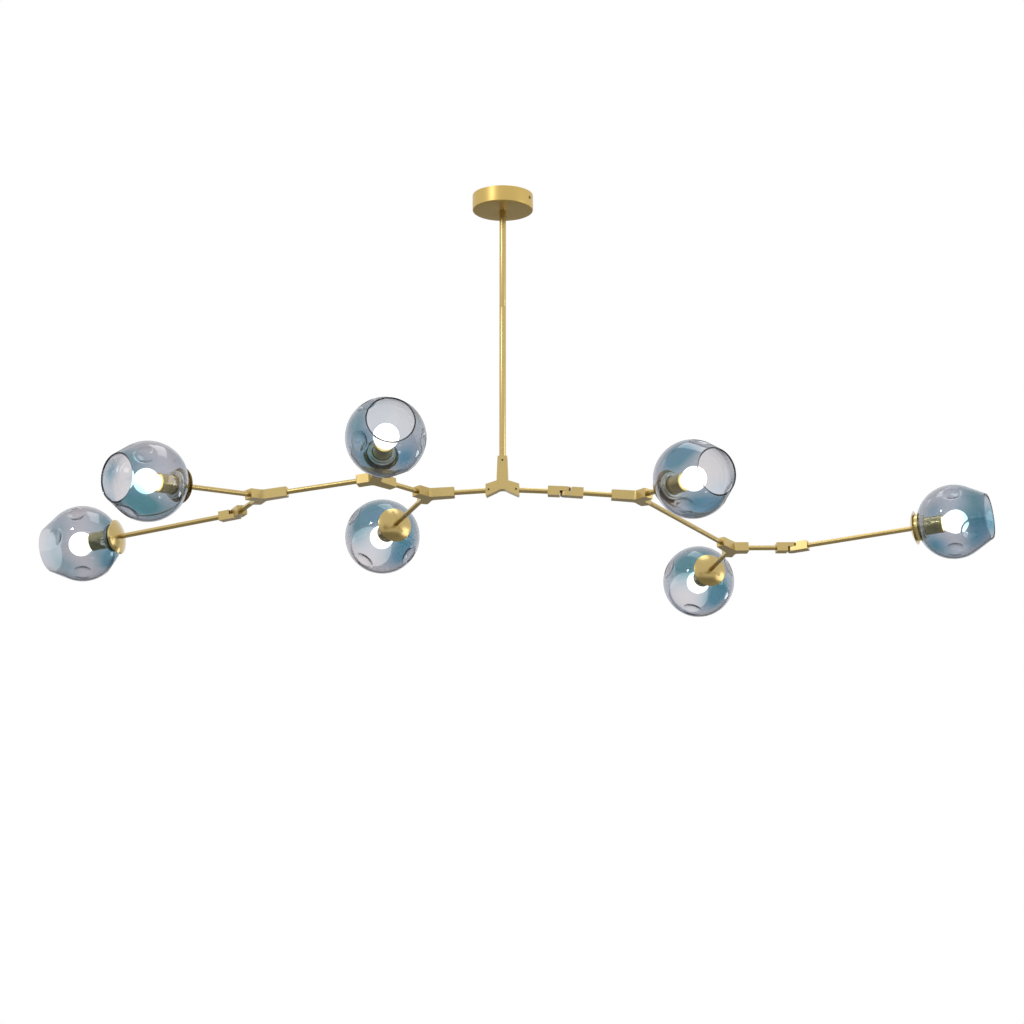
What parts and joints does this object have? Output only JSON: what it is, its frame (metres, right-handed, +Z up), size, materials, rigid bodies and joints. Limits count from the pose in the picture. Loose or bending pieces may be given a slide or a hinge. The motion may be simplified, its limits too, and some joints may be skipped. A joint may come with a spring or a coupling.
{
  "type": "branch chandelier",
  "caption": "Branch chandelier: ceiling canopy, straight drop stem and jointed brass branches that carry dimpled glass globe lamps.",
  "frame": {"origin": "centre of the canopy at the ceiling plane", "axes": "+Z up into the ceiling, +X along the long line of branches, the side seen first faces -Y"},
  "size_m": [1.922, 1.0225, 0.7396],
  "materials": {
    "brushed_brass": "brushed",
    "polished_brass": "polished",
    "steel": "satin",
    "dark_steel": "satin",
    "insulator": "glossy",
    "plated_plastic": "satin",
    "tinted_glass": "glossy",
    "opal_bulb": "opal"
  },
  "bodies": {
    "frame": {"canopy": "brushed_brass", "mounting_bracket": "steel", "canopy_screws": "polished_brass", "terminal_block": "insulator", "stem_fittings": "steel", "stem_upper": "brushed_brass", "stem_lower": "brushed_brass", "hub_block": "brushed_brass", "block_left_1": "brushed_brass", "block_left_2": "brushed_brass", "block_left_3": "brushed_brass", "branch_rods_left": "brushed_brass", "branch_rod_inner": "brushed_brass", "lamp_rods_left": "brushed_brass", "knuckle_left_fixed": "brushed_brass", "pivot_left": "steel", "knuckle_inner_fixed": "brushed_brass", "pivot_inner": "steel", "set_screws_left": "dark_steel", "cup_2": "polished_brass", "lampholder_2": "plated_plastic", "shade_2": "tinted_glass", "bulb_2": "opal_bulb", "cup_3": "polished_brass", "lampholder_3": "plated_plastic", "shade_3": "tinted_glass", "bulb_3": "opal_bulb", "cup_4": "polished_brass", "lampholder_4": "plated_plastic", "shade_4": "tinted_glass", "bulb_4": "opal_bulb"},
    "left_arm": {"knuckle_left_swing": "brushed_brass", "lamp_rod_1": "brushed_brass", "cup_1": "polished_brass", "lampholder_1": "plated_plastic", "shade_1": "tinted_glass", "bulb_1": "opal_bulb"},
    "right_branch": {"knuckle_inner_swing": "brushed_brass", "block_right_1": "brushed_brass", "block_right_2": "brushed_brass", "branch_rods_right": "brushed_brass", "lamp_rods_right": "brushed_brass", "knuckle_outer_fixed": "brushed_brass", "pivot_outer": "steel", "set_screws_right": "dark_steel", "cup_5": "polished_brass", "lampholder_5": "plated_plastic", "shade_5": "tinted_glass", "bulb_5": "opal_bulb", "cup_6": "polished_brass", "lampholder_6": "plated_plastic", "shade_6": "tinted_glass", "bulb_6": "opal_bulb"},
    "right_arm": {"knuckle_outer_swing": "brushed_brass", "lamp_rod_7": "brushed_brass", "cup_7": "polished_brass", "lampholder_7": "plated_plastic", "shade_7": "tinted_glass", "bulb_7": "opal_bulb"}
  },
  "joints": [
    {"name": "left_knuckle", "type": "hinge", "parent": "frame", "child": "left_arm", "pos_m": [-0.52067, 0.06874, -0.63339], "axis": [-0.1052, -0.0187, 0.9943], "range_deg": [-90, 45]},
    {"name": "inner_knuckle", "type": "hinge", "parent": "frame", "child": "right_branch", "pos_m": [0.12167, -0.00638, -0.60838], "axis": [0.0523, -0.0027, 0.9986], "range_deg": [-75, 60]},
    {"name": "outer_knuckle", "type": "hinge", "parent": "right_branch", "child": "right_arm", "pos_m": [0.59432, 0.37088, -0.62985], "axis": [-0.0472, 0.0807, 0.9956], "range_deg": [-60, 100]}
  ]
}
